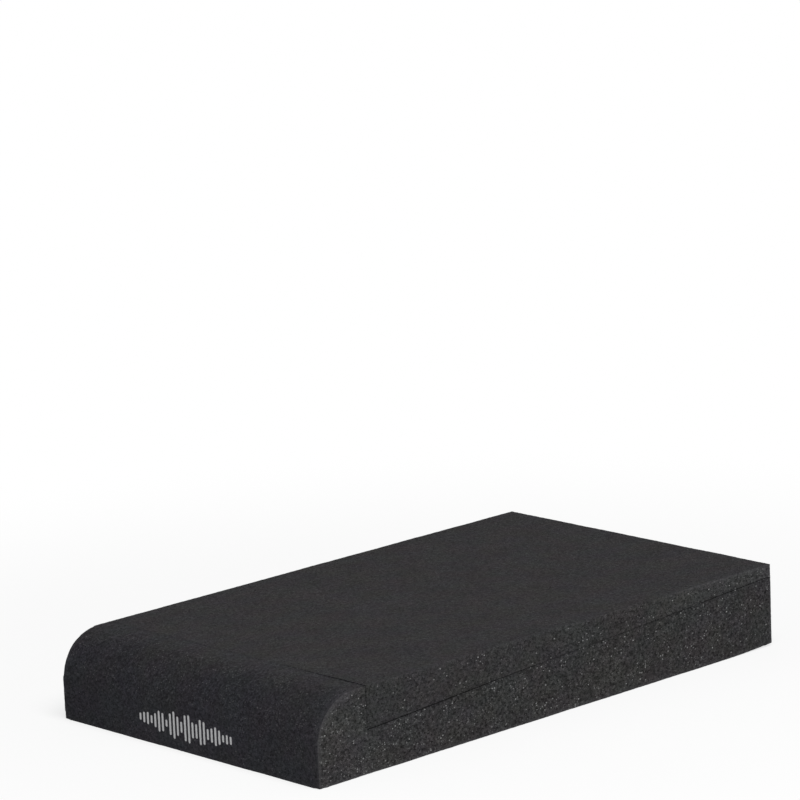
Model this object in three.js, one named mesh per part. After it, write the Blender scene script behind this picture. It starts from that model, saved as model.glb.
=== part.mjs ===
// A foam isolation pad for one studio loudspeaker, in millimetres.
// It is two loose pieces of charcoal polyurethane foam: a base with a bullnose front and a
// ramp sawn into its top, and a wedge insert that fills the ramp, so that the top is level.
// +Z is up, the bullnose faces -Y, and the origin is the middle of the footprint.

import * as THREE from "three";

// The whole pad
const padWidth = 195;
const padLength = 330;
const padHeight = 45;

// The base's front
const noseRadius = 25; // quarter round from the front face to the top
const landLength = 8; // level strip between the quarter round and the insert

// The wedge insert, thick end to the front
const insertFrontThickness = 22;
const insertRearThickness = 6.4;

// The saw wandered a little as it cut the ramp, dying out towards both ends of the cut
const cutWander = 0.4; // height of the wander
const cutWaves = 1.1; // waves along the ramp
const cutPhase = 0.075; // share of the ramp's length before the first rise

// The underside rises towards the rear edge on a long arc
const heelLift = 1.4;
const heelLength = 36;

// Room between the two pieces
const seatGap = 0.3; // under the insert
const noseGap = 0.5; // ahead of the insert

// Edges as the foam saw leaves them
const sideRound = 0.6; // along both sides of each piece
const cornerRound = sideRound * 1.6; // across the width, a little larger so that it survives sideRound

// Facets
const noseFacets = 20;
const heelFacets = 6;
const rampFacets = 36;
const cornerFacets = 4;
const sideRoundFacets = 3;

// Places along the pad that both pieces share
const frontY = -padLength / 2;
const rearY = padLength / 2;
const stepY = frontY + noseRadius + landLength;

const foam = { roughness: 0.95, metalness: 0 };
const baseMaterial = new THREE.MeshStandardMaterial({ color: 0x2b2b2c, ...foam });
const insertMaterial = new THREE.MeshStandardMaterial({ color: 0x2e2d2d, ...foam });

// Height of the sawn ramp at a place along the pad
function rampHeight(y) {
  const share = (y - stepY) / (rearY - stepY);
  const straight = THREE.MathUtils.lerp(padHeight - insertFrontThickness, padHeight - insertRearThickness, share);
  const wander = Math.sin(Math.PI * share) * Math.sin(2 * Math.PI * cutWaves * (share - cutPhase));
  return straight + cutWander * wander;
}

// Points along the ramp's saw cut, raised by a clearance, from one place to another
function cutLine(fromY, toY, raisedBy) {
  const points = [];
  for (let i = 0; i <= rampFacets; i += 1) {
    const y = THREE.MathUtils.lerp(fromY, toY, i / rampFacets);
    points.push(new THREE.Vector2(y, rampHeight(y) + raisedBy));
  }
  return points;
}

// Points along a circular arc, both ends included
function arc(centre, radius, fromAngle, toAngle, facets) {
  const points = [];
  for (let i = 0; i <= facets; i += 1) {
    const angle = THREE.MathUtils.lerp(fromAngle, toAngle, i / facets);
    points.push(new THREE.Vector2(centre.x + radius * Math.cos(angle), centre.y + radius * Math.sin(angle)));
  }
  return points;
}

// A corner of the profile between its two neighbours, rounded to cornerRound
function roundedCorner(before, corner, after) {
  const toBefore = before.clone().sub(corner).normalize();
  const toAfter = after.clone().sub(corner).normalize();
  const halfAngle = toBefore.angleTo(toAfter) / 2;
  const bisector = toBefore.clone().add(toAfter).normalize();
  const centre = corner.clone().addScaledVector(bisector, cornerRound / Math.sin(halfAngle));
  const reach = cornerRound / Math.tan(halfAngle);
  const start = corner.clone().addScaledVector(toBefore, reach).sub(centre);
  const end = corner.clone().addScaledVector(toAfter, reach).sub(centre);
  const turn = Math.atan2(start.cross(end), start.dot(end));
  return arc(centre, cornerRound, start.angle(), start.angle() + turn, cornerFacets);
}

// A side profile with its marked corners rounded. An entry is a corner or a list of curve points.
function roundedProfile(entries) {
  const firstOf = (entry) => (Array.isArray(entry) ? entry[0] : entry);
  const lastOf = (entry) => (Array.isArray(entry) ? entry[entry.length - 1] : entry);
  const outline = [];
  entries.forEach((entry, i) => {
    if (Array.isArray(entry)) {
      outline.push(...entry);
      return;
    }
    const before = lastOf(entries[(i + entries.length - 1) % entries.length]);
    const after = firstOf(entries[(i + 1) % entries.length]);
    outline.push(...roundedCorner(before, entry, after));
  });
  return new THREE.Shape(outline);
}

// A profile of length and height, carried across the pad's width with rounded side edges
function acrossWidth(profile, name, material) {
  const geometry = new THREE.ExtrudeGeometry(profile, {
    depth: padWidth - 2 * sideRound,
    curveSegments: 1,
    bevelEnabled: true,
    bevelThickness: sideRound,
    bevelSize: sideRound,
    bevelOffset: -sideRound,
    bevelSegments: sideRoundFacets,
  });
  geometry.translate(0, 0, sideRound - padWidth / 2);
  const mesh = new THREE.Mesh(geometry, material);
  mesh.name = name;
  const alongPad = new THREE.Vector3(0, 1, 0);
  const upwards = new THREE.Vector3(0, 0, 1);
  const acrossPad = new THREE.Vector3(1, 0, 0);
  mesh.setRotationFromMatrix(new THREE.Matrix4().makeBasis(alongPad, upwards, acrossPad));
  return mesh;
}

// The saw line between its two ends, without the ends themselves, which are rounded corners
function inner(points) {
  return points.slice(1, -1);
}

function makeBase() {
  const ramp = cutLine(stepY, rearY, 0);
  const heelRadius = (heelLength ** 2 + heelLift ** 2) / (2 * heelLift);
  const heelCentre = new THREE.Vector2(rearY - heelLength, heelRadius);
  const heelTurn = Math.asin(heelLength / heelRadius);
  const heel = arc(heelCentre, heelRadius, -Math.PI / 2, heelTurn - Math.PI / 2, heelFacets);
  const noseCentre = new THREE.Vector2(frontY + noseRadius, padHeight - noseRadius);
  const nose = arc(noseCentre, noseRadius, Math.PI / 2, Math.PI, noseFacets);
  const profile = roundedProfile([
    new THREE.Vector2(frontY, 0),
    heel.slice(0, -1),
    heel[heelFacets],
    ramp[rampFacets],
    inner(ramp).reverse(),
    ramp[0],
    new THREE.Vector2(stepY, padHeight),
    nose,
  ]);
  return acrossWidth(profile, "base_platform", baseMaterial);
}

function makeInsert() {
  const insertFrontY = stepY + noseGap;
  const underside = cutLine(insertFrontY, rearY, seatGap);
  const profile = roundedProfile([
    underside[0],
    inner(underside),
    underside[rampFacets],
    new THREE.Vector2(rearY, padHeight),
    new THREE.Vector2(insertFrontY, padHeight),
  ]);
  return acrossWidth(profile, "wedge_insert", insertMaterial);
}

const pad = new THREE.Group();
pad.add(makeBase(), makeInsert());

export default pad;
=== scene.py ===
import math

import bmesh
import bpy
from mathutils import Matrix, Vector, kdtree, noise


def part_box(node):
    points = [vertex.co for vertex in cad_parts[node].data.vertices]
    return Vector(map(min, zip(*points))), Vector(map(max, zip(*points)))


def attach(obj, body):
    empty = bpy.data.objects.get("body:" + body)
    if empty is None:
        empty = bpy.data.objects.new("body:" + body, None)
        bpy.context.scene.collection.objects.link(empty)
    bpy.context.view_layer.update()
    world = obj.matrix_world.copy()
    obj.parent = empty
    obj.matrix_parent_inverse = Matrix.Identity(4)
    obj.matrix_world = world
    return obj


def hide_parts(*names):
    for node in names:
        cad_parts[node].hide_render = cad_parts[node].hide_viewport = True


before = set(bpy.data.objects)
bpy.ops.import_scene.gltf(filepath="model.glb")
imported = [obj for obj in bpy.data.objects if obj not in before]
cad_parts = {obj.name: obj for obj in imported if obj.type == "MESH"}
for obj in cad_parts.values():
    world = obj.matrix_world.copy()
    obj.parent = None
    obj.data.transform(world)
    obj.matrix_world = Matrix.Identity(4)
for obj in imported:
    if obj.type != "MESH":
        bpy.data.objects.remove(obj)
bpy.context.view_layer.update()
print("frame loaded")

mm = 0.001
scene = bpy.context.scene


# Camera: it looks down on the pad's rounded front edge from the right, held slightly turned

view = {
    "azimuth": 47.0,  # degrees round the pad, 0 looks at its front
    "elevation": 12.302,
    "roll": -2.468,
    "place": (1630.83 * mm, -1529.94 * mm, 640.32 * mm),
    "sensor": 36.0,
    "lens": 197.54,
    "nearest": 0.1,  # what the camera shows, in metres from it
    "farthest": 50,
}


def makeCamera():
    data = bpy.data.cameras.new("camera")
    data.sensor_width = view["sensor"]
    data.lens = view["lens"]
    data.clip_start = view["nearest"]
    data.clip_end = view["farthest"]
    camera = bpy.data.objects.new("camera", data)
    scene.collection.objects.link(camera)
    turn = Matrix.Rotation(math.radians(view["azimuth"]), 4, "Z")
    turn @= Matrix.Rotation(math.radians(90 - view["elevation"]), 4, "X")
    turn @= Matrix.Rotation(math.radians(view["roll"]), 4, "Z")
    camera.matrix_world = Matrix.Translation(view["place"]) @ turn
    scene.camera = camera


makeCamera()
print("camera placed")


# The pad's sizes: the box comes from the frame, the rest are the solids' own values

baseLow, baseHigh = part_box("base_platform")

form = {
    "sideSwell": 0.40 * mm,  # how far the foam stands proud of its cut size
    "endSwell": 0.20 * mm,
    "topSwell": 0.20 * mm,
    "noseRadius": 25 * mm,
    "landLength": 8 * mm,  # level strip behind the nose
    "noseFade": (14 * mm, 4 * mm),  # the nose's look fades out between these, ahead of the step
    "insertFront": 22 * mm,  # thickness of the insert at its front end
    "insertRear": 6.4 * mm,
    "cutWander": 0.4 * mm,  # how far the saw strayed up and down
    "cutWaves": 1.1,  # waves along the ramp, and the share of its length before the first rise
    "cutPhase": 0.075,
    "heelLift": 1.4 * mm,  # how far the underside rises at the rear, and over which length
    "heelLength": 36 * mm,
}
halfWidth = baseHigh.x + form["sideSwell"]
frontY = baseLow.y - form["endSwell"]
rearY = baseHigh.y + form["endSwell"]
topZ = baseHigh.z + form["topSwell"]
stepY = baseLow.y + form["noseRadius"] + form["landLength"]


def mix(a, b, share):
    return a + (b - a) * share


def smoothShare(value, low, high):
    share = min(max((value - low) / (high - low), 0), 1)
    return share * share * (3 - 2 * share)


# 1 where a value lies under the first of two limits, 0 past the second
def fadeOut(value, low, high):
    return 1 - smoothShare(value, low, high)


# 1 on the nose, down to 0 on the level strip behind it
def noseShare(place):
    start, end = form["noseFade"]
    return fadeOut(place.y, stepY - start, stepY - end)


# Share that grows from one depth under the top to another
def upShare(place, depths):
    return smoothShare(place.z, topZ - depths[0], topZ - depths[1])


# Height of the sawn ramp at a place along the pad
def rampHeight(y):
    share = (y - stepY) / (rearY - stepY)
    straight = mix(baseHigh.z - form["insertFront"], baseHigh.z - form["insertRear"], share)
    wave = math.sin(2 * math.pi * form["cutWaves"] * (share - form["cutPhase"]))
    return straight + form["cutWander"] * math.sin(math.pi * share) * wave


# Height of the underside, which rises on a long arc at the rear
def heelHeight(y):
    past = max(y - (rearY - form["heelLength"]), 0)
    radius = (form["heelLength"] ** 2 + form["heelLift"] ** 2) / (2 * form["heelLift"])
    return radius - math.sqrt(radius ** 2 - past ** 2)


# Bends the square front top corner of the side face into the nose's quarter round
def roundNose(y, z):
    radius = form["noseRadius"]
    ahead = (frontY + radius - y) / radius
    above = (z - (topZ - radius)) / radius
    if ahead <= 0 or above <= 0:
        return y, z
    y = frontY + radius - radius * ahead * math.sqrt(1 - above ** 2 / 2)
    z = topZ - radius + radius * above * math.sqrt(1 - ahead ** 2 / 2)
    return y, z


# The seam between the two pieces: how wide it stands open, and how the insert sits in it

seam = {
    "drop": 0.2 * mm,  # the middle of the gap lies this far under the saw line
    "frontGap": 0.48 * mm,  # under the insert at its thick end, in the middle and at its thin end
    "middleGap": 0.2 * mm,
    "rearGap": 0.38 * mm,
    "endShut": 0.25 * mm,  # the gap narrows at the rear face
    "narrows": (0.15, 0.5),  # shares of the ramp's length over which the gap changes
    "widens": (0.62, 0.93),
    "shuts": (0.97, 0.998),
    "endGap": 0.09 * mm,  # ahead of the insert
    "cornerGap": 0.04 * mm,  # and so much more ahead of its right corner, which is a little raised
    "cornerRise": 0.35 * mm,
    "cornerReach": 16 * mm,  # how far back the corner stays up
    "cornerStart": 30 * mm,  # and from which place across the pad
    "reach": 0.5 * mm,  # what lies this close to the saw cut counts as cut by it
    "shade": 0.14,  # painted shade: how much darker the foam is beside the seam
    "shadeLeft": 0.4,  # share of it on the left half, where the pieces sit closer
    "shadeWhole": 60 * mm,  # it is whole from this place across the pad
    "shadeReach": 0.9 * mm,
}
insertFrontY = stepY + seam["endGap"]


def seamGap(y):
    share = (y - stepY) / (rearY - stepY)
    gap = mix(seam["frontGap"], seam["middleGap"], smoothShare(share, *seam["narrows"]))
    gap = mix(gap, seam["rearGap"], smoothShare(share, *seam["widens"]))
    return mix(gap, seam["endShut"], smoothShare(share, *seam["shuts"]))


# Height of the base's lip under the gap (side = -1) or of the insert's lip over it (side = 1)
def seamLip(y, side):
    return rampHeight(y) - seam["drop"] + side * seamGap(y) / 2


# The saw cut: the ramp with its step on the base, the underside and front end on the insert
def onSawCut(place):
    reach = seam["reach"]
    aboveCut = place.z - (rampHeight(place.y) - seam["drop"])
    onRamp = place.y > stepY - reach and abs(aboveCut) < reach
    onStep = abs(place.y - stepY) < reach and aboveCut > -reach
    return onRamp or onStep


# Painted shade: the foam is made darker beside the seam, where its soft lips turn inwards
def seamShade(place):
    aside = math.inf
    if place.y > stepY - seam["reach"]:
        aside = abs(place.z - (rampHeight(place.y) - seam["drop"]))
    if place.z > rampHeight(stepY) - seam["reach"]:
        aside = min(aside, abs(place.y - stepY))
    share = mix(seam["shadeLeft"], 1, smoothShare(place.x, 0, seam["shadeWhole"]))
    return 1 - seam["shade"] * share * math.exp(-((aside / seam["shadeReach"]) ** 2))


# Sets the insert's right front corner back a little and lifts its top
def raiseCorner(bm):
    for vert in bm.verts:
        x, y, z = vert.co
        low = rampHeight(y)
        up = (z - low) / (topZ - low)
        share = fadeOut(y, stepY, stepY + seam["cornerReach"])
        share *= smoothShare(x, seam["cornerStart"], halfWidth)
        vert.co.y += seam["cornerGap"] * share
        vert.co.z += seam["cornerRise"] * share * up


# Foam meshes: a fine grid in the shape of the side face, drawn out across the width

grain = {
    "acrossCuts": 180,  # strips across the width where the foam shows
    "hiddenCuts": 30,  # and where it lies against something
    "noseColumns": 34,
    "rampColumns": 250,
    "lowRows": 30,
    "highRows": 24,
    "insertRows": 18,
    "hiddenMargin": 6 * mm,  # the fine strips reach this far under the pad and the insert
    "hiddenReach": 0.1 * mm,  # what lies this close to the underside belongs to it
    "weld": 0.001 * mm,
    "crowding": 0.12,  # how much wider the rows stand in the middle than on average
    "crowdPower": 5,  # the higher, the nearer to their ends they draw together
}


# Steps of an even row, 0 to 1, drawn closer together towards the chosen ends
def crowd(share, atStart=True, atEnd=True):
    if atStart and atEnd:
        return 0.5 + 0.5 * crowdOut(2 * share - 1)
    if atEnd:
        return crowdOut(share)
    if atStart:
        return 1 - crowdOut(1 - share)
    return share


def crowdOut(share):
    return share * (1 + grain["crowding"] * (1 - abs(share) ** grain["crowdPower"]))


def sideFace(bm, columns, rows, placeOf):
    made = bmesh.ops.create_grid(bm, x_segments=columns, y_segments=rows, size=0.5)
    for vert in made["verts"]:
        y, z = placeOf(vert.co.x + 0.5, vert.co.y + 0.5)
        vert.co = (-halfWidth, y, z)


stepLow = seamLip(stepY, -1)  # the foot of the step ahead of the insert


def frontBlockY(share):
    return mix(frontY, stepY, crowd(share))


def baseFrontLow(across, up):
    return roundNose(frontBlockY(across), stepLow * crowd(up, atEnd=False))


def baseFrontHigh(across, up):
    return roundNose(frontBlockY(across), mix(stepLow, topZ, crowd(up, atStart=False)))


def baseRear(across, up):
    y = mix(stepY, rearY, crowd(across))
    return y, mix(heelHeight(y), seamLip(y, -1), crowd(up, atEnd=False))


def insertSide(across, up):
    y = mix(insertFrontY, rearY, crowd(across))
    return y, mix(seamLip(y, 1), topZ, crowd(up))


# Draws the side face out across the pad and cuts it into strips, fewer where isHidden says so
def drawAcross(bm, isHidden):
    bmesh.ops.remove_doubles(bm, verts=bm.verts, dist=grain["weld"])
    drawn = bmesh.ops.extrude_face_region(bm, geom=bm.faces[:], use_keep_orig=True)
    moved = [item for item in drawn["geom"] if isinstance(item, bmesh.types.BMVert)]
    bmesh.ops.translate(bm, verts=moved, vec=(2 * halfWidth, 0, 0))
    bmesh.ops.recalc_face_normals(bm, faces=bm.faces)
    across = [edge for edge in bm.edges if abs(edge.verts[0].co.x - edge.verts[1].co.x) > halfWidth]
    hidden = [edge for edge in across if isHidden(edge.verts[0].co)]
    shown = [edge for edge in across if not isHidden(edge.verts[0].co)]
    bmesh.ops.subdivide_edges(bm, edges=shown, cuts=grain["acrossCuts"])
    bmesh.ops.subdivide_edges(bm, edges=hidden, cuts=grain["hiddenCuts"])
    for vert in bm.verts:
        vert.co.x = halfWidth * crowdOut(vert.co.x / halfWidth)
    wide = [face for face in bm.faces if len(face.verts) > 4]
    bmesh.ops.triangulate(bm, faces=wide)


def makeBaseMesh():
    bm = bmesh.new()
    sideFace(bm, grain["noseColumns"], grain["lowRows"], baseFrontLow)
    sideFace(bm, grain["noseColumns"], grain["highRows"], baseFrontHigh)
    sideFace(bm, grain["rampColumns"], grain["lowRows"], baseRear)
    margin = grain["hiddenMargin"]

    def isHidden(place):
        underside = heelHeight(place.y) + grain["hiddenReach"]
        isDown = place.z < underside and place.y > frontY + margin
        isCut = onSawCut(place) and place.y > stepY + margin
        return (isDown or isCut) and place.y < rearY - margin

    drawAcross(bm, isHidden)
    return bm


def makeInsertMesh():
    bm = bmesh.new()
    sideFace(bm, grain["rampColumns"], grain["insertRows"], insertSide)
    margin = grain["hiddenMargin"]

    def isHidden(place):
        return onSawCut(place) and stepY + margin < place.y < rearY - margin

    drawAcross(bm, isHidden)
    raiseCorner(bm)
    return bm


# Cut foam: softened arrises, a rough skin of cells and a few large open pores

cut = {
    "arrisAngle": 50,  # degrees between faces that meet at an arris
    "arrisReach": 1.0 * mm,  # how far an arris is softened
    "arrisPasses": 1,  # how often it is smoothed
    "arrisFade": 0.9 * mm,
    "shoulderReach": 2.6 * mm,  # the same along the nose's curve and at its feet, where it is rounder
    "footReach": 3.8 * mm,
    "shoulderStart": 0.1,  # share of the nose's radius at which its curve counts as begun
    "shoulderPasses": 6,
    "calmFade": 1.0 * mm,  # no glints this close to an arris
    "arrisHighlightFade": 1.4 * mm,  # a painted highlight, where the arris's fuzzy edge catches the light, makes an arris lighter over this much of the side
    "shoulderHighlightFade": 2.4 * mm,  # and over so much round the nose
    "shoulderDepths": (30 * mm, 12 * mm),  # under the top, where it grows to that
    "highlightFront": 0.3,  # share of it on the faces that aren't a side
    "highlightTop": 0.25,  # along the top, and along the last part of the top
    "highlightRear": 0.85,
    "highlightChange": (75 * mm, 115 * mm),  # places along the pad between the one and the other
    "highlightDepth": 6 * mm,  # what lies this close to the top belongs to it
    "arrisNick": 0.04 * mm,
    "roughSize": 1.3 * mm,
    "rough": 0.10 * mm,
    "swellSize": 24 * mm,
    "swell": 0.16 * mm,
    "poreSpacing": 9 * mm,
    "poreRadius": 1.3 * mm,
    "poreLeast": 0.45,  # share of that radius which the smallest pores have
    "poreLots": 37.0,  # spreads the lots that choose the pores
    "poreDepth": 0.5 * mm,
    "sawnShare": 0.3,  # how rough the hidden saw cut is against the rest
    "floorGap": 0.02 * mm,  # the underside lies flat, just clear of the floor
    "sideTurn": (0.45, 0.9),  # turn to the side at which foam begins to count as one, and fully does
    "frontTurn": (0.1, 1.0),  # the same to the front
    "seedStep": (0.37, 0.71, 0.13),  # moves the roughness of one piece against the other's
}


def arrisTree(bm):
    limit = math.radians(cut["arrisAngle"])
    sharp = [edge for edge in bm.edges if edge.is_manifold and edge.calc_face_angle() > limit]
    verts = {vert for edge in sharp for vert in edge.verts if not onSawCut(vert.co)}
    tree = kdtree.KDTree(len(verts))
    for vert in sorted(verts, key=lambda vert: vert.index):
        tree.insert(vert.co, vert.index)
    tree.balance()
    return tree


def poreDepthAt(place):
    spacing = cut["poreSpacing"]
    near, centres = noise.voronoi(place / spacing)
    lot = noise.cell(centres[0] * cut["poreLots"])
    radius = cut["poreRadius"] * mix(cut["poreLeast"], 1, abs(lot))
    away = near[0] * spacing
    if lot < 0 or away > radius:
        return 0
    return cut["poreDepth"] * (1 - (away / radius) ** 2)


# Places where handling has rounded the foam more: the nose's curved arrises and its two feet
def isWorn(place, fromArris):
    radius = form["noseRadius"]
    ahead = (frontY + radius - place.y) / radius
    above = (place.z - (topZ - radius)) / radius
    onCurve = min(ahead, above) > cut["shoulderStart"]
    onShoulder = onCurve and fromArris < cut["shoulderReach"]
    foot = Vector((math.copysign(halfWidth, place.x), frontY, 0))
    return onShoulder or (place - foot).length < cut["footReach"]


def smoothVerts(bm, verts, passes):
    for _ in range(passes):
        bmesh.ops.smooth_vert(
            bm, verts=verts, factor=0.5, use_axis_x=True, use_axis_y=True, use_axis_z=True
        )


# How wide the painted highlight on an arris is
def arrisHighlightFade(place):
    share = upShare(place, cut["shoulderDepths"]) * noseShare(place)
    return mix(cut["arrisHighlightFade"], cut["shoulderHighlightFade"], share)


# How strong the painted highlight on an arris is: fully round the nose and least along the middle of the
# top
def arrisHighlightShare(place, onSide):
    share = mix(cut["highlightFront"], 1, onSide)
    if place.z < topZ - cut["highlightDepth"]:
        return share
    alongTop = mix(cut["highlightTop"], cut["highlightRear"], smoothShare(place.y, *cut["highlightChange"]))
    return share * mix(alongTop, 1, noseShare(place))


# Tone of the foam against its mean: the nose's side and the insert's rear are a little paler, and the
# nose's curve is darker, partly with painted shade
toneDrift = {
    "noseSide": 0.12,
    "noseSideEnd": (-10 * mm, 25 * mm),  # it fades out between these places, counted from the step
    "insertSide": 0.04,
    "insertRear": 0.30,
    "insertChange": (20 * mm, 170 * mm),  # places along the pad between the one and the other
    "frontLeft": 0.02,
    "frontRight": 0.14,
    "frontChange": (-80 * mm, -25 * mm),  # places across the pad
    "frontDepths": (25 * mm, 5 * mm),  # it fades out upwards between these, under the top
    "noseCurveShade": 0.11,  # how much darker the nose's curve is: partly painted shade, partly the foam's own tone
    "curveDepths": (32 * mm, 15 * mm),  # it grows upwards between these, under the top
    "curveEnd": 3 * mm,  # and fades out over the last stretch under the top
    "blotch": 0.09,  # slow unevenness all over
    "blotchSize": 22 * mm,
}

# Share of the cells on the sides that carry painted glints, from the front of each piece to its rear
glintDrift = {
    "baseFront": 1.3,
    "baseRear": 0.8,
    "insertFront": 0.28,
    "insertRear": 0.7,
    "change": (-120 * mm, 150 * mm),  # places along the pad between front and rear
}


def toneAndShadeAt(place, onSide, isInsert):
    rightShare = smoothShare(place.x, *toneDrift["frontChange"])
    front = mix(toneDrift["frontLeft"], toneDrift["frontRight"], rightShare)
    front *= 1 - upShare(place, toneDrift["frontDepths"])
    # the nose's curve is darkened: partly painted shade, partly the foam's own tone
    curve = upShare(place, toneDrift["curveDepths"]) * noseShare(place)
    curve *= fadeOut(place.z, topZ - toneDrift["curveEnd"], topZ)
    front -= toneDrift["noseCurveShade"] * curve
    if isInsert:
        rearShare = smoothShare(place.y, *toneDrift["insertChange"])
        side = mix(toneDrift["insertSide"], toneDrift["insertRear"], rearShare)
    else:
        side = toneDrift["noseSide"] * fadeOut(place.y - stepY, *toneDrift["noseSideEnd"])
    blotch = toneDrift["blotch"] * noise.noise(place / toneDrift["blotchSize"])
    return 1 + mix(front, side, onSide) + blotch


def glintsAt(place, onSide, isInsert):
    share = smoothShare(place.y, *glintDrift["change"])
    if isInsert:
        side = mix(glintDrift["insertFront"], glintDrift["insertRear"], share)
    else:
        side = mix(glintDrift["baseFront"], glintDrift["baseRear"], share)
    return mix(1, side, onSide)


def roughen(bm, seed, isInsert=False):
    edgeLayer = bm.verts.layers.float.new("arris")
    sideLayer = bm.verts.layers.float.new("cutSide")
    highlightLayer = bm.verts.layers.float.new("rim")
    frontLayer = bm.verts.layers.float.new("faceFront")
    toneAndShadeLayer = bm.verts.layers.float.new("tone")
    glintLayer = bm.verts.layers.float.new("glints")
    bm.verts.index_update()
    tree = arrisTree(bm)
    fromArris = [tree.find(vert.co)[2] for vert in bm.verts]
    near = [vert for vert in bm.verts if fromArris[vert.index] < cut["arrisReach"]]
    worn = [vert for vert in bm.verts if isWorn(vert.co, fromArris[vert.index])]
    smoothVerts(bm, near, cut["arrisPasses"])
    smoothVerts(bm, worn, cut["shoulderPasses"])
    bm.normal_update()
    for edge in bm.edges:
        sawn = onSawCut(edge.verts[0].co) and onSawCut(edge.verts[1].co)
        edge.smooth = not (sawn and edge.calc_face_angle(0) > math.radians(cut["arrisAngle"]))
    shift = Vector(cut["seedStep"]) * seed
    offsets = []
    for vert in bm.verts:
        place = vert.co + shift
        away = fromArris[vert.index]
        edge = math.exp(-away / cut["arrisFade"])
        depth = cut["rough"] * noise.noise(place / cut["roughSize"])
        depth += cut["swell"] * noise.noise(vert.co / cut["swellSize"])
        depth -= cut["arrisNick"] * edge * (1 + noise.noise(place / (2 * cut["roughSize"])))
        depth -= poreDepthAt(place)
        if onSawCut(vert.co):
            depth *= cut["sawnShare"]
        offsets.append(vert.normal * depth)
        onSide = smoothShare(abs(vert.normal.x), *cut["sideTurn"])
        vert[edgeLayer] = math.exp(-((away / cut["calmFade"]) ** 2))
        # painted highlight along the arrises
        vert[highlightLayer] = math.exp(-((away / arrisHighlightFade(vert.co)) ** 2)) * arrisHighlightShare(vert.co, onSide)
        vert[sideLayer] = onSide
        # tone, with the painted shade beside the seam and on the nose's curve
        vert[toneAndShadeLayer] = toneAndShadeAt(vert.co, onSide, isInsert) * seamShade(vert.co)
        vert[glintLayer] = glintsAt(vert.co, onSide, isInsert)
        # faces turned to the front, which take the bluer nose tint: painted bluish light
        vert[frontLayer] = smoothShare(-vert.normal.y, *cut["frontTurn"])
    for vert, offset in zip(bm.verts, offsets):
        vert.co += offset
        vert.co.z = max(vert.co.z, cut["floorGap"])


def foamObject(name, bm, node):
    bmesh.ops.recalc_face_normals(bm, faces=bm.faces)
    for face in bm.faces:
        face.smooth = True
    mesh = bpy.data.meshes.new(name)
    bm.to_mesh(mesh)
    bm.free()
    piece = bpy.data.objects.new(name, mesh)
    scene.collection.objects.link(piece)
    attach(piece, "root")
    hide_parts(node)
    print(name, "has", len(mesh.polygons), "faces")
    return piece


baseBm = makeBaseMesh()
roughen(baseBm, seed=1)
base = foamObject("foam_base", baseBm, "base_platform")

insertBm = makeInsertMesh()
roughen(insertBm, seed=2, isInsert=True)
insert = foamObject("foam_insert", insertBm, "wedge_insert")


# Foam finish, shared by both pieces

foamLook = {
    "sideTint": (0.0323, 0.0316, 0.0320, 1),  # both cut sides
    "noseTint": (0.0240, 0.0237, 0.0273, 1),  # the base's front, which is smoother; its bluer hue is painted light, standing for bluish light on the faces turned to the front
    "warm": (1.022, 1.0, 0.978, 1),  # two mottlings of the hue
    "cool": (0.978, 1.0, 1.022, 1),
    "mauve": (1.013, 0.974, 1.013, 1),
    "green": (0.987, 1.026, 0.987, 1),
    "warmSize": 22 * mm,
    "mauveSize": 15 * mm,
    "mottleClouds": (0.35, 0.65),  # the clouds' values at which one hue gives way to the other
    "grainStretch": 0.78,  # the lower, the longer the cells along the pad
    "cellSize": 0.98 * mm,
    "wallCore": 0.02,  # share of a cell where its wall is at its lightest, and where it ends
    "wallWidth": 0.30,
    "wallTone": 1.22,  # cell walls against the mean tone, and the cells' hollows
    "hollowTone": 0.78,
    "gritSize": 1.25 * mm,
    "gritShare": 2.4,  # of the grit in the unevenness of tone, against the cells' own lots
    "sideContrast": 0.98,  # unevenness of tone on the cut sides, and elsewhere
    "skinContrast": 0.66,
    # colour of the painted glints, light that cell skins catch
    "glint": (0.38, 0.38, 0.38, 1),
    "glintCore": 0.12,  # share of a cell where its glint is at its brightest, and where it ends
    "glintEnd": 0.42,
    "glintCluster": 8 * mm,
    "clusterClouds": (0.38, 0.62),  # the clouds' values at which a cluster begins and is full
    "clusterLow": 0.15,  # share of glints between the clusters and in them, against the mean
    "clusterHigh": 1.9,
    "edge": (0.085, 0.083, 0.090, 1),  # painted highlight of an arris, whose fuzzy edge catches the light, and its share of the colour there
    "highlightColourShare": 0.4,
    "bump": 0.4,
    "bumpDepth": 0.25 * mm,
    "wallHeight": 0.6,  # share of the cell walls in the relief
    "roughness": 0.95,
    "specular": 0.04,
}

brightGlints = {
    "size": 1.15 * mm,
    "sideShare": 0.18,  # share of the cells that glint on a side, and elsewhere
    "skinShare": 0.0,
    "strength": 0.88,
    "rarity": 1.5,  # the higher, the fewer reach full strength
}

faintGlints = {
    "size": 0.88 * mm,
    "sideShare": 0.62,
    "skinShare": 0.30,
    "strength": 0.25,
    "rarity": 1.5,
}

baseLook = {
    "restTint": (0.0262, 0.0256, 0.0274, 1),  # level strip, underside and rear
    "contrastShare": 1.0,
}

insertLook = {
    "restTint": (0.0278, 0.0267, 0.0279, 1),  # top and rear
    "contrastShare": 0.82,
}


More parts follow.
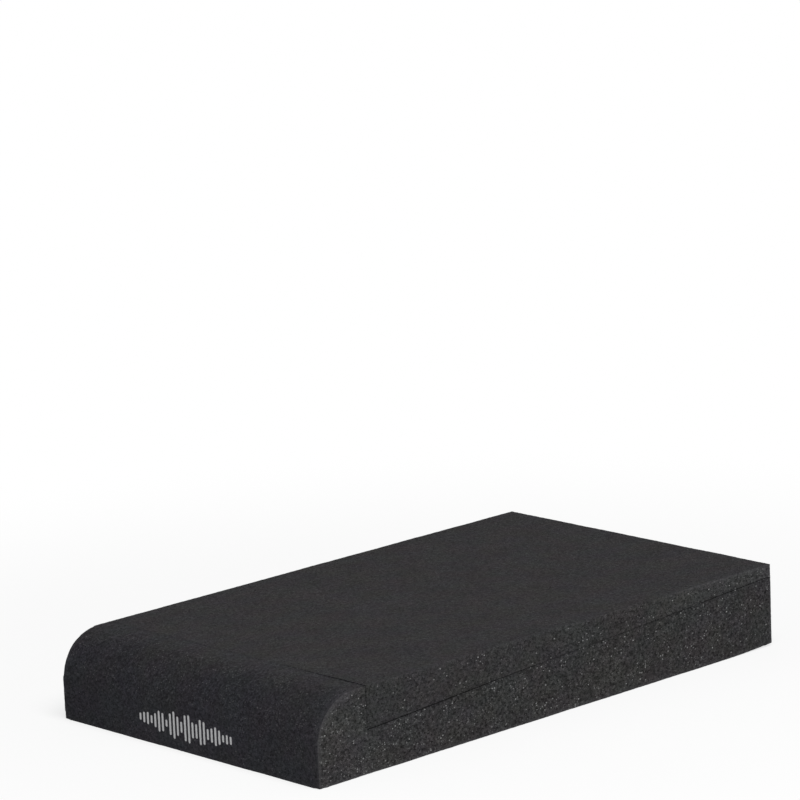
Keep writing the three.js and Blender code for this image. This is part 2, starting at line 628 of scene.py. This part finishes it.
# A node tree with short calls for what the finishes use again and again
class Finish:
    def __init__(self, name):
        self.material = bpy.data.materials.new(name)
        self.material.use_nodes = True
        self.tree = self.material.node_tree
        self.tree.nodes.clear()

    def add(self, kind, label, **values):
        node = self.tree.nodes.new(kind)
        node.label = label
        for key, value in values.items():
            setattr(node, key, value)
        return node

    def feed(self, socket, value):
        if isinstance(value, (float, int, tuple)):
            socket.default_value = value
        else:
            self.tree.links.new(value, socket)

    def maths(self, operation, first, second, label):
        node = self.add("ShaderNodeMath", label, operation=operation)
        self.feed(node.inputs[0], first)
        self.feed(node.inputs[1], second)
        return node.outputs[0]

    def ramp(self, value, fromLow, fromHigh, toLow, toHigh, label):
        node = self.add("ShaderNodeMapRange", label, interpolation_type="SMOOTHSTEP")
        for socket, item in zip(node.inputs, (value, fromLow, fromHigh, toLow, toHigh)):
            self.feed(socket, item)
        return node.outputs["Result"]

    def blend(self, share, first, second, label, mode="MIX"):
        node = self.add("ShaderNodeMix", label, data_type="RGBA", blend_type=mode)
        for socket, item in zip((node.inputs[0], node.inputs[6], node.inputs[7]), (share, first, second)):
            self.feed(socket, item)
        return node.outputs[2]

    def place(self):
        return self.add("ShaderNodeTexCoord", "place").outputs["Object"]

    def grainPlace(self):
        stretch = self.add("ShaderNodeMapping", "grain runs along the pad")
        self.feed(stretch.inputs["Scale"], (1.0, foamLook["grainStretch"], 1.0))
        self.feed(stretch.inputs["Vector"], self.place())
        return stretch.outputs["Vector"]

    def share(self, name):
        return self.add("ShaderNodeAttribute", name, attribute_name=name).outputs["Fac"]

    def cells(self, size, label, feature="F1"):
        node = self.add("ShaderNodeTexVoronoi", label, feature=feature)
        self.feed(node.inputs["Scale"], 1 / size)
        self.feed(node.inputs["Vector"], self.grainPlace())
        return node

    def clouds(self, size, label, detail=3.0, roughness=0.6):
        node = self.add("ShaderNodeTexNoise", label)
        self.feed(node.inputs["Scale"], 1 / size)
        self.feed(node.inputs["Detail"], detail)
        self.feed(node.inputs["Roughness"], roughness)
        self.feed(node.inputs["Vector"], self.grainPlace())
        return node.outputs["Fac"]

    def channels(self, colour, label):
        node = self.add("ShaderNodeSeparateColor", label)
        self.feed(node.inputs["Color"], colour)
        return node.outputs

    def times(self, colour, factor, label):
        return self.blend(1.0, colour, factor, label, mode="MULTIPLY")

    def mottled(self, colour, size, first, second, label):
        low, high = foamLook["mottleClouds"]
        share = self.ramp(self.clouds(size, label + " clouds"), low, high, 0.0, 1.0, label + " share")
        return self.times(colour, self.blend(share, first, second, label), label + " mottling")

    def plus(self, first, second, label):
        return self.maths("ADD", first, second, label)

    def minus(self, first, second, label):
        return self.maths("SUBTRACT", first, second, label)

    def by(self, first, second, label):
        return self.maths("MULTIPLY", first, second, label)

    def size(self, value, label):
        return self.maths("ABSOLUTE", value, 0.0, label)


# Open cells: lighter walls round darker hollows, each cell with a tone of its own
def foamCells(finish, onSide, look):
    size = foamLook["cellSize"]
    walls = finish.cells(size, "cell walls", feature="DISTANCE_TO_EDGE").outputs["Distance"]
    wall = finish.ramp(walls, foamLook["wallCore"], foamLook["wallWidth"], 1.0, 0.0, "wall")
    tone = finish.ramp(wall, 0.0, 1.0, foamLook["hollowTone"], foamLook["wallTone"], "wall tone")
    lots = finish.channels(finish.cells(size, "cells").outputs["Color"], "lots of the cells")
    lot = finish.minus(lots["Red"], 0.5, "lot about nought")
    grit = finish.minus(finish.clouds(foamLook["gritSize"], "grit"), 0.5, "grit about nought")
    stray = finish.plus(lot, finish.by(grit, foamLook["gritShare"], "grit share"), "stray")
    skinContrast = foamLook["skinContrast"] * look["contrastShare"]
    sideContrast = foamLook["sideContrast"] * look["contrastShare"]
    contrast = finish.ramp(onSide, 0.0, 1.0, skinContrast, sideContrast, "contrast")
    stray = finish.by(stray, contrast, "stray share")
    stray = finish.maths("EXPONENT", stray, 0.0, "stray tone")
    return wall, grit, finish.by(tone, stray, "cell tone")


# Painted glints: cell skins that face the light, drawn as light dots in the colour, more of them and in
# clusters on the cut sides
def foamGlints(finish, onSide, arris, kind, label):
    dots = finish.cells(kind["size"], label)
    lots = finish.channels(dots.outputs["Color"], label + " lots")
    clouds = finish.clouds(foamLook["glintCluster"], label + " clouds", detail=1.0)
    start, full = foamLook["clusterClouds"]
    low = foamLook["clusterLow"]
    high = foamLook["clusterHigh"]
    cluster = finish.ramp(clouds, start, full, low, high, label + " cluster")
    limit = finish.ramp(onSide, 0.0, 1.0, kind["skinShare"], kind["sideShare"], label + " share")
    limit = finish.by(finish.by(limit, cluster, label + " limit"), finish.share("glints"), label + " drift")
    chosen = finish.maths("LESS_THAN", lots["Green"], limit, label + " chosen")
    away = dots.outputs["Distance"]
    core = foamLook["glintCore"]
    end = foamLook["glintEnd"]
    dot = finish.ramp(away, core, end, kind["strength"], 0.0, label + " dot")
    strength = finish.maths("POWER", lots["Blue"], kind["rarity"], label + " strength")
    glow = finish.by(finish.by(chosen, dot, label), strength, label + " glow")
    return finish.by(glow, finish.minus(1.0, arris, "off the arris"), label + " off the arris")


def foamColour(finish, look):
    onSide = finish.share("cutSide")
    arris = finish.share("arris")
    wall, grit, tone = foamCells(finish, onSide, look)
    # Faces turned to the front take the nose tint, whose bluer hue is painted bluish light
    rest = finish.blend(finish.share("faceFront"), look["restTint"], foamLook["noseTint"], "front or rest")
    colour = finish.blend(onSide, rest, foamLook["sideTint"], "side or rest")
    warmSize = foamLook["warmSize"]
    mauveSize = foamLook["mauveSize"]
    colour = finish.mottled(colour, warmSize, foamLook["warm"], foamLook["cool"], "warm or cool")
    colour = finish.mottled(colour, mauveSize, foamLook["mauve"], foamLook["green"], "mauve or green")
    # the tone attribute carries painted shade beside the seam and on the nose's curve
    colour = finish.times(colour, finish.by(tone, finish.share("tone"), "whole tone"), "cells")
    # Painted highlight: the arrises are made lighter where their fuzzy edges catch the light
    rim = finish.by(finish.share("rim"), foamLook["highlightColourShare"], "rim share")
    colour = finish.blend(rim, colour, foamLook["edge"], "lighter arris")
    bright = foamGlints(finish, onSide, arris, brightGlints, "bright glints")
    colour = finish.blend(bright, colour, foamLook["glint"], "with bright glints")
    faint = foamGlints(finish, onSide, arris, faintGlints, "faint glints")
    colour = finish.blend(faint, colour, foamLook["glint"], "with faint glints")
    return wall, grit, colour


# The print on the base's front: a row of upright bars in grey ink, with no lettering

printMark = {
    "ink": (0.55, 0.55, 0.56, 1),
    "bars": 25,
    "pitch": 2.9 * mm,
    "barHalf": 0.72 * mm,
    "middle": (-1.5 * mm, 12.8 * mm),  # across the front, and above the floor
    "shortest": 1.7 * mm,  # half of a bar's height
    "swing": 5.9 * mm,
    "turnStart": 0.5,  # how the heights rise and fall, in radians at the first bar
    "turn": 0.83,  # and for each further one
    "softEdge": 0.16 * mm,
    "depth": 3 * mm,  # behind the front face, nothing is printed
    "wornGrit": (-0.25, -0.10),  # values of the grit at which the ink is worn and whole
    "wornInk": (0.82, 0.97),  # share of ink there
}


def printShare(finish):
    node = finish.add("ShaderNodeSeparateXYZ", "place of the print")
    finish.feed(node.inputs[0], finish.place())
    across, along, up = node.outputs
    bars = printMark["bars"]
    pitch = printMark["pitch"]
    barHalf = printMark["barHalf"]
    soft = printMark["softEdge"]
    midX, midZ = printMark["middle"]
    left = midX - bars * pitch / 2
    steps = finish.maths("DIVIDE", finish.minus(across, left, "from the left"), pitch, "steps")
    bar = finish.maths("FLOOR", steps, 0.0, "bar")
    inStep = finish.minus(finish.minus(steps, bar, "in the step"), 0.5, "off the bar's middle")
    aside = finish.by(inStep, pitch, "aside")
    angle = finish.plus(finish.by(bar, printMark["turn"], "turned"), printMark["turnStart"], "angle")
    wave = finish.size(finish.maths("SINE", angle, 0.0, "swing"), "wave")
    inRow = finish.by(finish.plus(bar, 0.5, "bar's middle"), math.pi / bars, "along the row")
    envelope = finish.maths("SINE", inRow, 0.0, "envelope")
    tall = finish.by(finish.by(wave, envelope, "height share"), printMark["swing"], "swung height")
    tall = finish.plus(tall, printMark["shortest"] - barHalf, "straight part")
    over = finish.size(finish.minus(up, midZ, "above the row's middle"), "off the row's middle")
    over = finish.maths("MAXIMUM", finish.minus(over, tall, "past the straight part"), 0.0, "over")
    asideSquared = finish.by(aside, aside, "aside squared")
    overSquared = finish.by(over, over, "over squared")
    squares = finish.plus(asideSquared, overSquared, "squares")
    away = finish.maths("SQRT", squares, 0.0, "from the bar's core")
    ink = finish.ramp(away, barHalf - soft, barHalf + soft, 1.0, 0.0, "ink")
    offMiddle = finish.size(finish.minus(across, midX, "from the middle"), "off the middle")
    isBar = finish.maths("LESS_THAN", offMiddle, bars * pitch / 2, "in the row")
    isFront = finish.maths("LESS_THAN", along, frontY + printMark["depth"], "on the front")
    return finish.by(ink, finish.by(isBar, isFront, "printed part"), "print")


def foamMaterial(name, look, isPrinted):
    finish = Finish(name)
    wall, grit, colour = foamColour(finish, look)
    if isPrinted:
        worn = finish.ramp(grit, *printMark["wornGrit"], *printMark["wornInk"], "worn ink")
        inked = finish.by(printShare(finish), worn, "ink share")
        colour = finish.blend(inked, colour, printMark["ink"], "printed")
    height = finish.plus(finish.by(wall, foamLook["wallHeight"], "wall height"), grit, "height")
    bump = finish.add("ShaderNodeBump", "cell relief")
    finish.feed(bump.inputs["Strength"], foamLook["bump"])
    finish.feed(bump.inputs["Distance"], foamLook["bumpDepth"])
    finish.feed(bump.inputs["Height"], height)
    shader = finish.add("ShaderNodeBsdfPrincipled", "foam")
    finish.feed(shader.inputs["Roughness"], foamLook["roughness"])
    finish.feed(shader.inputs["Specular IOR Level"], foamLook["specular"])
    finish.feed(shader.inputs["Base Color"], colour)
    finish.feed(shader.inputs["Normal"], bump.outputs["Normal"])
    output = finish.add("ShaderNodeOutputMaterial", "surface")
    finish.feed(output.inputs["Surface"], shader.outputs["BSDF"])
    return finish.material


base.data.materials.append(foamMaterial("charcoal foam of the base", baseLook, isPrinted=True))
insert.data.materials.append(foamMaterial("charcoal foam of the insert", insertLook, isPrinted=False))
print("foam finished")


# Studio: white floor and world, one large soft lamp from the right and one from the front

studio = {
    "floorSide": 14.0,
    "paper": (0.92, 0.92, 0.92, 1),
    "floorShare": 0.74,  # share of plain white in what the camera sees of the floor by the pad
    "shadowReach": 0.20,  # from here out the share grows, and past the next reach it is whole
    "whiteReach": 0.55,
    "worldStrength": 0.25,
    "keyPower": 62.0,
    "keySize": 1.6,
    "keyPlace": (1.15, -0.35, 2.45),
    "fillPower": 3.0,
    "fillSize": 2.0,
    "fillPlace": (-1.2, -2.6, 1.6),
}


def cameraSees(nodes, links):
    path = nodes.new("ShaderNodeLightPath")
    seen = nodes.new("ShaderNodeMath")
    seen.operation = "MAXIMUM"
    glossy = nodes.new("ShaderNodeMath")
    glossy.operation = "MAXIMUM"
    links.new(path.outputs["Is Camera Ray"], seen.inputs[0])
    links.new(path.outputs["Is Glossy Ray"], glossy.inputs[0])
    links.new(path.outputs["Is Transmission Ray"], glossy.inputs[1])
    links.new(glossy.outputs[0], seen.inputs[1])
    return seen.outputs[0]


def makeWorld():
    world = bpy.data.worlds.new("studio")
    scene.world = world
    world.use_nodes = True
    nodes, links = world.node_tree.nodes, world.node_tree.links
    nodes.clear()
    soft = nodes.new("ShaderNodeBackground")
    soft.inputs["Color"].default_value = (1, 1, 1, 1)
    soft.inputs["Strength"].default_value = studio["worldStrength"]
    white = nodes.new("ShaderNodeBackground")
    white.inputs["Color"].default_value = (1, 1, 1, 1)
    white.inputs["Strength"].default_value = 1
    choose = nodes.new("ShaderNodeMixShader")
    links.new(cameraSees(nodes, links), choose.inputs["Fac"])
    links.new(soft.outputs[0], choose.inputs[1])
    links.new(white.outputs[0], choose.inputs[2])
    output = nodes.new("ShaderNodeOutputWorld")
    links.new(choose.outputs[0], output.inputs["Surface"])


def makeFloor():
    bm = bmesh.new()
    bmesh.ops.create_grid(bm, x_segments=1, y_segments=1, size=studio["floorSide"] / 2)
    mesh = bpy.data.meshes.new("floor")
    bm.to_mesh(mesh)
    bm.free()
    floor = bpy.data.objects.new("floor", mesh)
    scene.collection.objects.link(floor)
    material = bpy.data.materials.new("white floor")
    material.use_nodes = True
    nodes, links = material.node_tree.nodes, material.node_tree.links
    nodes.clear()
    paper = nodes.new("ShaderNodeBsdfDiffuse")
    paper.inputs["Color"].default_value = studio["paper"]
    white = nodes.new("ShaderNodeEmission")
    white.inputs["Strength"].default_value = 1
    place = nodes.new("ShaderNodeTexCoord")
    away = nodes.new("ShaderNodeVectorMath")
    away.operation = "LENGTH"
    links.new(place.outputs["Object"], away.inputs[0])
    whiter = nodes.new("ShaderNodeMapRange")
    whiter.interpolation_type = "SMOOTHSTEP"
    values = (studio["shadowReach"], studio["whiteReach"], studio["floorShare"], 1.0)
    for socket, value in zip(whiter.inputs[1:], values):
        socket.default_value = value
    links.new(away.outputs["Value"], whiter.inputs["Value"])
    share = nodes.new("ShaderNodeMath")
    share.operation = "MULTIPLY"
    links.new(whiter.outputs["Result"], share.inputs[1])
    links.new(cameraSees(nodes, links), share.inputs[0])
    choose = nodes.new("ShaderNodeMixShader")
    links.new(share.outputs[0], choose.inputs["Fac"])
    links.new(paper.outputs[0], choose.inputs[1])
    links.new(white.outputs[0], choose.inputs[2])
    output = nodes.new("ShaderNodeOutputMaterial")
    links.new(choose.outputs[0], output.inputs["Surface"])
    mesh.materials.append(material)


def makeLamp(name, place, size, power):
    data = bpy.data.lights.new(name, "AREA")
    data.shape = "SQUARE"
    data.size = size
    data.energy = power
    lamp = bpy.data.objects.new(name, data)
    scene.collection.objects.link(lamp)
    lamp.location = place
    lamp.rotation_euler = (-Vector(place)).to_track_quat("-Z", "Y").to_euler()


makeWorld()
makeFloor()
makeLamp("key", studio["keyPlace"], studio["keySize"], studio["keyPower"])
makeLamp("fill", studio["fillPlace"], studio["fillSize"], studio["fillPower"])
scene.view_settings.view_transform = "Standard"
print("studio lit")
